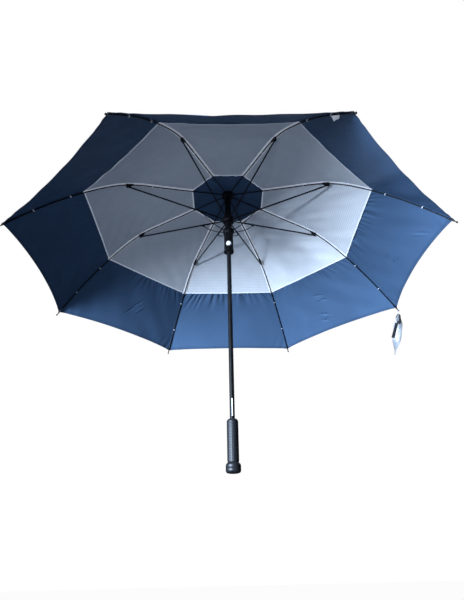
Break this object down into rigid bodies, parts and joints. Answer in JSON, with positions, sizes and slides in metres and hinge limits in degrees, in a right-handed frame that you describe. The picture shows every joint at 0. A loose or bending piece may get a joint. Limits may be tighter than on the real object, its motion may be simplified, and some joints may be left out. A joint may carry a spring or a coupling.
{
  "type": "golf umbrella",
  "caption": "Open automatic golf umbrella: vented double canopy on jointed ribs, collar and runner on a straight shaft, foam-rubber grip; folds along the shaft.",
  "frame": {"origin": "centre of the butt's flat bottom face", "axes": "+Z along the shaft from the grip to the ferrule; -Y towards the push button's side"},
  "size_m": [1.2229, 1.2216, 0.975],
  "materials": {
    "black_steel": "satin black enamel",
    "rib_fibre": "black glass-fibre rod, semi-gloss",
    "black_plastic": "moulded, fine matte",
    "grip_rubber": "soft textured",
    "spring_steel": "drawn wire",
    "button_chrome": "bright, smooth",
    "tag_card": "smooth card",
    "navy_fabric": "fine woven pongee, with a white net in the vent"
  },
  "bodies": {
    "shaft_assembly": {"shaft": "black_steel", "grip": "grip_rubber", "butt_cap": "grip_rubber", "rib_notch": "black_plastic", "ferrule": "black_plastic"},
    "runner": {"runner": "black_plastic"},
    "collar": {"collar": "black_plastic", "opening_spring": "spring_steel"},
    "button": {"runner_button": "button_chrome"},
    "catch": {"lower_catch": "spring_steel"},
    "tag_loop": {"tag_loop": "tag_card"},
    "tags": {"hang_tags": "tag_card"},
    "rib_inner_1": {"rib_inner_1": "rib_fibre", "vent_cover_1": "navy_fabric"},
    "rib_outer_1": {"rib_outer_1": "rib_fibre", "lower_canopy_1": "navy_fabric"},
    "stretcher_1": {"stretcher_1": "black_steel"},
    "link_1": {"link_1": "black_steel"},
    "rib_inner_2": {"rib_inner_2": "rib_fibre", "vent_cover_2": "navy_fabric"},
    "rib_outer_2": {"rib_outer_2": "rib_fibre", "lower_canopy_2": "navy_fabric"},
    "stretcher_2": {"stretcher_2": "black_steel"},
    "link_2": {"link_2": "black_steel"},
    "rib_inner_3": {"rib_inner_3": "rib_fibre", "vent_cover_3": "navy_fabric"},
    "rib_outer_3": {"rib_outer_3": "rib_fibre", "lower_canopy_3": "navy_fabric"},
    "stretcher_3": {"stretcher_3": "black_steel"},
    "link_3": {"link_3": "black_steel"},
    "rib_inner_4": {"rib_inner_4": "rib_fibre", "vent_cover_4": "navy_fabric"},
    "rib_outer_4": {"rib_outer_4": "rib_fibre", "lower_canopy_4": "navy_fabric"},
    "stretcher_4": {"stretcher_4": "black_steel"},
    "link_4": {"link_4": "black_steel"},
    "rib_inner_5": {"rib_inner_5": "rib_fibre", "vent_cover_5": "navy_fabric"},
    "rib_outer_5": {"rib_outer_5": "rib_fibre", "lower_canopy_5": "navy_fabric"},
    "stretcher_5": {"stretcher_5": "black_steel"},
    "link_5": {"link_5": "black_steel"},
    "rib_inner_6": {"rib_inner_6": "rib_fibre", "vent_cover_6": "navy_fabric"},
    "rib_outer_6": {"rib_outer_6": "rib_fibre", "lower_canopy_6": "navy_fabric"},
    "stretcher_6": {"stretcher_6": "black_steel"},
    "link_6": {"link_6": "black_steel"},
    "rib_inner_7": {"rib_inner_7": "rib_fibre", "vent_cover_7": "navy_fabric"},
    "rib_outer_7": {"rib_outer_7": "rib_fibre", "lower_canopy_7": "navy_fabric"},
    "stretcher_7": {"stretcher_7": "black_steel"},
    "link_7": {"link_7": "black_steel"},
    "rib_inner_8": {"rib_inner_8": "rib_fibre", "vent_cover_8": "navy_fabric"},
    "rib_outer_8": {"rib_outer_8": "rib_fibre", "lower_canopy_8": "navy_fabric"},
    "stretcher_8": {"stretcher_8": "black_steel"},
    "link_8": {"link_8": "black_steel"}
  },
  "joints": [
    {"name": "runner_slide", "type": "slide", "parent": "shaft_assembly", "child": "runner", "axis": [0, 0, -1], "range_m": [0, 0.517], "stiffness_N_per_m": 40, "springref_m": -0.35},
    {"name": "collar_slide", "type": "slide", "parent": "shaft_assembly", "child": "collar", "axis": [0, 0, -1], "range_m": [0, 0.5462], "deforming": ["opening_spring"]},
    {"name": "rib_hinge_1", "type": "hinge", "parent": "shaft_assembly", "child": "rib_inner_1", "pos_m": [-0.00689, -0.01663, 0.9065], "axis": [0.9239, -0.3827, 0], "range_deg": [0, 75.79], "deforming": ["vent_cover_1"]},
    {"name": "rib_flex_1", "type": "hinge", "parent": "rib_inner_1", "child": "rib_outer_1", "pos_m": [-0.13011, -0.31412, 0.8405], "axis": [0.9239, -0.3827, 0], "range_deg": [-22.95, 0], "deforming": ["lower_canopy_1"]},
    {"name": "stretcher_hinge_1", "type": "hinge", "parent": "rib_inner_1", "child": "stretcher_1", "pos_m": [-0.12954, -0.31273, 0.8345], "axis": [0.9239, -0.3827, 0], "range_deg": [-159.96, 0]},
    {"name": "link_hinge_1", "type": "hinge", "parent": "stretcher_1", "child": "link_1", "pos_m": [-0.03484, -0.08411, 0.80608], "axis": [0.9239, -0.3827, 0], "range_deg": [0, 36.37]},
    {"name": "rib_hinge_2", "type": "hinge", "parent": "shaft_assembly", "child": "rib_inner_2", "pos_m": [0.00689, -0.01663, 0.9065], "axis": [0.9239, 0.3827, 0], "range_deg": [0, 75.79], "deforming": ["vent_cover_2"]},
    {"name": "rib_flex_2", "type": "hinge", "parent": "rib_inner_2", "child": "rib_outer_2", "pos_m": [0.13011, -0.31412, 0.8405], "axis": [0.9239, 0.3827, 0], "range_deg": [-22.95, 0], "deforming": ["lower_canopy_2"]},
    {"name": "stretcher_hinge_2", "type": "hinge", "parent": "rib_inner_2", "child": "stretcher_2", "pos_m": [0.12954, -0.31273, 0.8345], "axis": [0.9239, 0.3827, 0], "range_deg": [-159.96, 0]},
    {"name": "link_hinge_2", "type": "hinge", "parent": "stretcher_2", "child": "link_2", "pos_m": [0.03484, -0.08411, 0.80608], "axis": [0.9239, 0.3827, 0], "range_deg": [0, 36.37]},
    {"name": "rib_hinge_3", "type": "hinge", "parent": "shaft_assembly", "child": "rib_inner_3", "pos_m": [0.01663, -0.00689, 0.9065], "axis": [0.3827, 0.9239, 0], "range_deg": [0, 75.79], "deforming": ["vent_cover_3"]},
    {"name": "rib_flex_3", "type": "hinge", "parent": "rib_inner_3", "child": "rib_outer_3", "pos_m": [0.31412, -0.13011, 0.8405], "axis": [0.3827, 0.9239, 0], "range_deg": [-22.95, 0], "deforming": ["lower_canopy_3"]},
    {"name": "stretcher_hinge_3", "type": "hinge", "parent": "rib_inner_3", "child": "stretcher_3", "pos_m": [0.31273, -0.12954, 0.8345], "axis": [0.3827, 0.9239, 0], "range_deg": [-159.96, 0]},
    {"name": "link_hinge_3", "type": "hinge", "parent": "stretcher_3", "child": "link_3", "pos_m": [0.08411, -0.03484, 0.80608], "axis": [0.3827, 0.9239, 0], "range_deg": [0, 36.37]},
    {"name": "rib_hinge_4", "type": "hinge", "parent": "shaft_assembly", "child": "rib_inner_4", "pos_m": [0.01663, 0.00689, 0.9065], "axis": [-0.3827, 0.9239, 0], "range_deg": [0, 75.79], "deforming": ["vent_cover_4"]},
    {"name": "rib_flex_4", "type": "hinge", "parent": "rib_inner_4", "child": "rib_outer_4", "pos_m": [0.31412, 0.13011, 0.8405], "axis": [-0.3827, 0.9239, 0], "range_deg": [-22.95, 0], "deforming": ["lower_canopy_4"]},
    {"name": "stretcher_hinge_4", "type": "hinge", "parent": "rib_inner_4", "child": "stretcher_4", "pos_m": [0.31273, 0.12954, 0.8345], "axis": [-0.3827, 0.9239, 0], "range_deg": [-159.96, 0]},
    {"name": "link_hinge_4", "type": "hinge", "parent": "stretcher_4", "child": "link_4", "pos_m": [0.08411, 0.03484, 0.80608], "axis": [-0.3827, 0.9239, 0], "range_deg": [0, 36.37]},
    {"name": "rib_hinge_5", "type": "hinge", "parent": "shaft_assembly", "child": "rib_inner_5", "pos_m": [0.00689, 0.01663, 0.9065], "axis": [-0.9239, 0.3827, 0], "range_deg": [0, 75.79], "deforming": ["vent_cover_5"]},
    {"name": "rib_flex_5", "type": "hinge", "parent": "rib_inner_5", "child": "rib_outer_5", "pos_m": [0.13011, 0.31412, 0.8405], "axis": [-0.9239, 0.3827, 0], "range_deg": [-22.95, 0], "deforming": ["lower_canopy_5"]},
    {"name": "stretcher_hinge_5", "type": "hinge", "parent": "rib_inner_5", "child": "stretcher_5", "pos_m": [0.12954, 0.31273, 0.8345], "axis": [-0.9239, 0.3827, 0], "range_deg": [-159.96, 0]},
    {"name": "link_hinge_5", "type": "hinge", "parent": "stretcher_5", "child": "link_5", "pos_m": [0.03484, 0.08411, 0.80608], "axis": [-0.9239, 0.3827, 0], "range_deg": [0, 36.37]},
    {"name": "rib_hinge_6", "type": "hinge", "parent": "shaft_assembly", "child": "rib_inner_6", "pos_m": [-0.00689, 0.01663, 0.9065], "axis": [-0.9239, -0.3827, 0], "range_deg": [0, 75.79], "deforming": ["vent_cover_6"]},
    {"name": "rib_flex_6", "type": "hinge", "parent": "rib_inner_6", "child": "rib_outer_6", "pos_m": [-0.13011, 0.31412, 0.8405], "axis": [-0.9239, -0.3827, 0], "range_deg": [-22.95, 0], "deforming": ["lower_canopy_6"]},
    {"name": "stretcher_hinge_6", "type": "hinge", "parent": "rib_inner_6", "child": "stretcher_6", "pos_m": [-0.12954, 0.31273, 0.8345], "axis": [-0.9239, -0.3827, 0], "range_deg": [-159.96, 0]},
    {"name": "link_hinge_6", "type": "hinge", "parent": "stretcher_6", "child": "link_6", "pos_m": [-0.03484, 0.08411, 0.80608], "axis": [-0.9239, -0.3827, 0], "range_deg": [0, 36.37]},
    {"name": "rib_hinge_7", "type": "hinge", "parent": "shaft_assembly", "child": "rib_inner_7", "pos_m": [-0.01663, 0.00689, 0.9065], "axis": [-0.3827, -0.9239, 0], "range_deg": [0, 75.79], "deforming": ["vent_cover_7"]},
    {"name": "rib_flex_7", "type": "hinge", "parent": "rib_inner_7", "child": "rib_outer_7", "pos_m": [-0.31412, 0.13011, 0.8405], "axis": [-0.3827, -0.9239, 0], "range_deg": [-22.95, 0], "deforming": ["lower_canopy_7"]},
    {"name": "stretcher_hinge_7", "type": "hinge", "parent": "rib_inner_7", "child": "stretcher_7", "pos_m": [-0.31273, 0.12954, 0.8345], "axis": [-0.3827, -0.9239, 0], "range_deg": [-159.96, 0]},
    {"name": "link_hinge_7", "type": "hinge", "parent": "stretcher_7", "child": "link_7", "pos_m": [-0.08411, 0.03484, 0.80608], "axis": [-0.3827, -0.9239, 0], "range_deg": [0, 36.37]},
    {"name": "rib_hinge_8", "type": "hinge", "parent": "shaft_assembly", "child": "rib_inner_8", "pos_m": [-0.01663, -0.00689, 0.9065], "axis": [0.3827, -0.9239, 0], "range_deg": [0, 75.79], "deforming": ["vent_cover_8"]},
    {"name": "rib_flex_8", "type": "hinge", "parent": "rib_inner_8", "child": "rib_outer_8", "pos_m": [-0.31412, -0.13011, 0.8405], "axis": [0.3827, -0.9239, 0], "range_deg": [-22.95, 0], "deforming": ["lower_canopy_8"]},
    {"name": "stretcher_hinge_8", "type": "hinge", "parent": "rib_inner_8", "child": "stretcher_8", "pos_m": [-0.31273, -0.12954, 0.8345], "axis": [0.3827, -0.9239, 0], "range_deg": [-159.96, 0]},
    {"name": "link_hinge_8", "type": "hinge", "parent": "stretcher_8", "child": "link_8", "pos_m": [-0.08411, -0.03484, 0.80608], "axis": [0.3827, -0.9239, 0], "range_deg": [0, 36.37]},
    {"name": "button_push", "type": "slide", "parent": "runner", "child": "button", "axis": [0, 1, 0], "range_m": [0, 0.0019], "stiffness_N_per_m": 600, "springref_m": -0.0005},
    {"name": "catch_push", "type": "slide", "parent": "shaft_assembly", "child": "catch", "axis": [0, 1, 0], "range_m": [0, 0.0028], "stiffness_N_per_m": 600, "springref_m": -0.0005},
    {"name": "tag_hang", "type": "hinge", "parent": "rib_outer_4", "child": "tag_loop", "pos_m": [0.6053, 0.25072, 0.59106], "axis": [-0.3827, 0.9239, 0], "range_deg": [-52.89, 0], "deforming": ["tag_loop"]},
    {"name": "tag_swing", "type": "hinge", "parent": "tag_loop", "child": "tags", "pos_m": [0.6053, 0.25072, 0.57006], "axis": [0.9239, 0.3827, 0], "range_deg": [-30, 30]}
  ],
  "couplings": [
    {"joint": "collar_slide", "follows": "runner_slide", "ratio": 1.0559},
    {"joint": "rib_hinge_1", "follows": "runner_slide", "rad_per_m": 2.5568},
    {"joint": "rib_flex_1", "follows": "runner_slide", "rad_per_m": -0.77308},
    {"joint": "stretcher_hinge_1", "follows": "runner_slide", "rad_per_m": -5.3983},
    {"joint": "link_hinge_1", "follows": "runner_slide", "rad_per_m": 1.2261},
    {"joint": "rib_hinge_2", "follows": "runner_slide", "rad_per_m": 2.5568},
    {"joint": "rib_flex_2", "follows": "runner_slide", "rad_per_m": -0.77308},
    {"joint": "stretcher_hinge_2", "follows": "runner_slide", "rad_per_m": -5.3983},
    {"joint": "link_hinge_2", "follows": "runner_slide", "rad_per_m": 1.2261},
    {"joint": "rib_hinge_3", "follows": "runner_slide", "rad_per_m": 2.5568},
    {"joint": "rib_flex_3", "follows": "runner_slide", "rad_per_m": -0.77308},
    {"joint": "stretcher_hinge_3", "follows": "runner_slide", "rad_per_m": -5.3983},
    {"joint": "link_hinge_3", "follows": "runner_slide", "rad_per_m": 1.2261},
    {"joint": "rib_hinge_4", "follows": "runner_slide", "rad_per_m": 2.5568},
    {"joint": "rib_flex_4", "follows": "runner_slide", "rad_per_m": -0.77308},
    {"joint": "stretcher_hinge_4", "follows": "runner_slide", "rad_per_m": -5.3983},
    {"joint": "link_hinge_4", "follows": "runner_slide", "rad_per_m": 1.2261},
    {"joint": "rib_hinge_5", "follows": "runner_slide", "rad_per_m": 2.5568},
    {"joint": "rib_flex_5", "follows": "runner_slide", "rad_per_m": -0.77308},
    {"joint": "stretcher_hinge_5", "follows": "runner_slide", "rad_per_m": -5.3983},
    {"joint": "link_hinge_5", "follows": "runner_slide", "rad_per_m": 1.2261},
    {"joint": "rib_hinge_6", "follows": "runner_slide", "rad_per_m": 2.5568},
    {"joint": "rib_flex_6", "follows": "runner_slide", "rad_per_m": -0.77308},
    {"joint": "stretcher_hinge_6", "follows": "runner_slide", "rad_per_m": -5.3983},
    {"joint": "link_hinge_6", "follows": "runner_slide", "rad_per_m": 1.2261},
    {"joint": "rib_hinge_7", "follows": "runner_slide", "rad_per_m": 2.5568},
    {"joint": "rib_flex_7", "follows": "runner_slide", "rad_per_m": -0.77308},
    {"joint": "stretcher_hinge_7", "follows": "runner_slide", "rad_per_m": -5.3983},
    {"joint": "link_hinge_7", "follows": "runner_slide", "rad_per_m": 1.2261},
    {"joint": "rib_hinge_8", "follows": "runner_slide", "rad_per_m": 2.5568},
    {"joint": "rib_flex_8", "follows": "runner_slide", "rad_per_m": -0.77308},
    {"joint": "stretcher_hinge_8", "follows": "runner_slide", "rad_per_m": -5.3983},
    {"joint": "link_hinge_8", "follows": "runner_slide", "rad_per_m": 1.2261},
    {"joint": "tag_hang", "follows": "runner_slide", "rad_per_m": -1.7838}
  ]
}
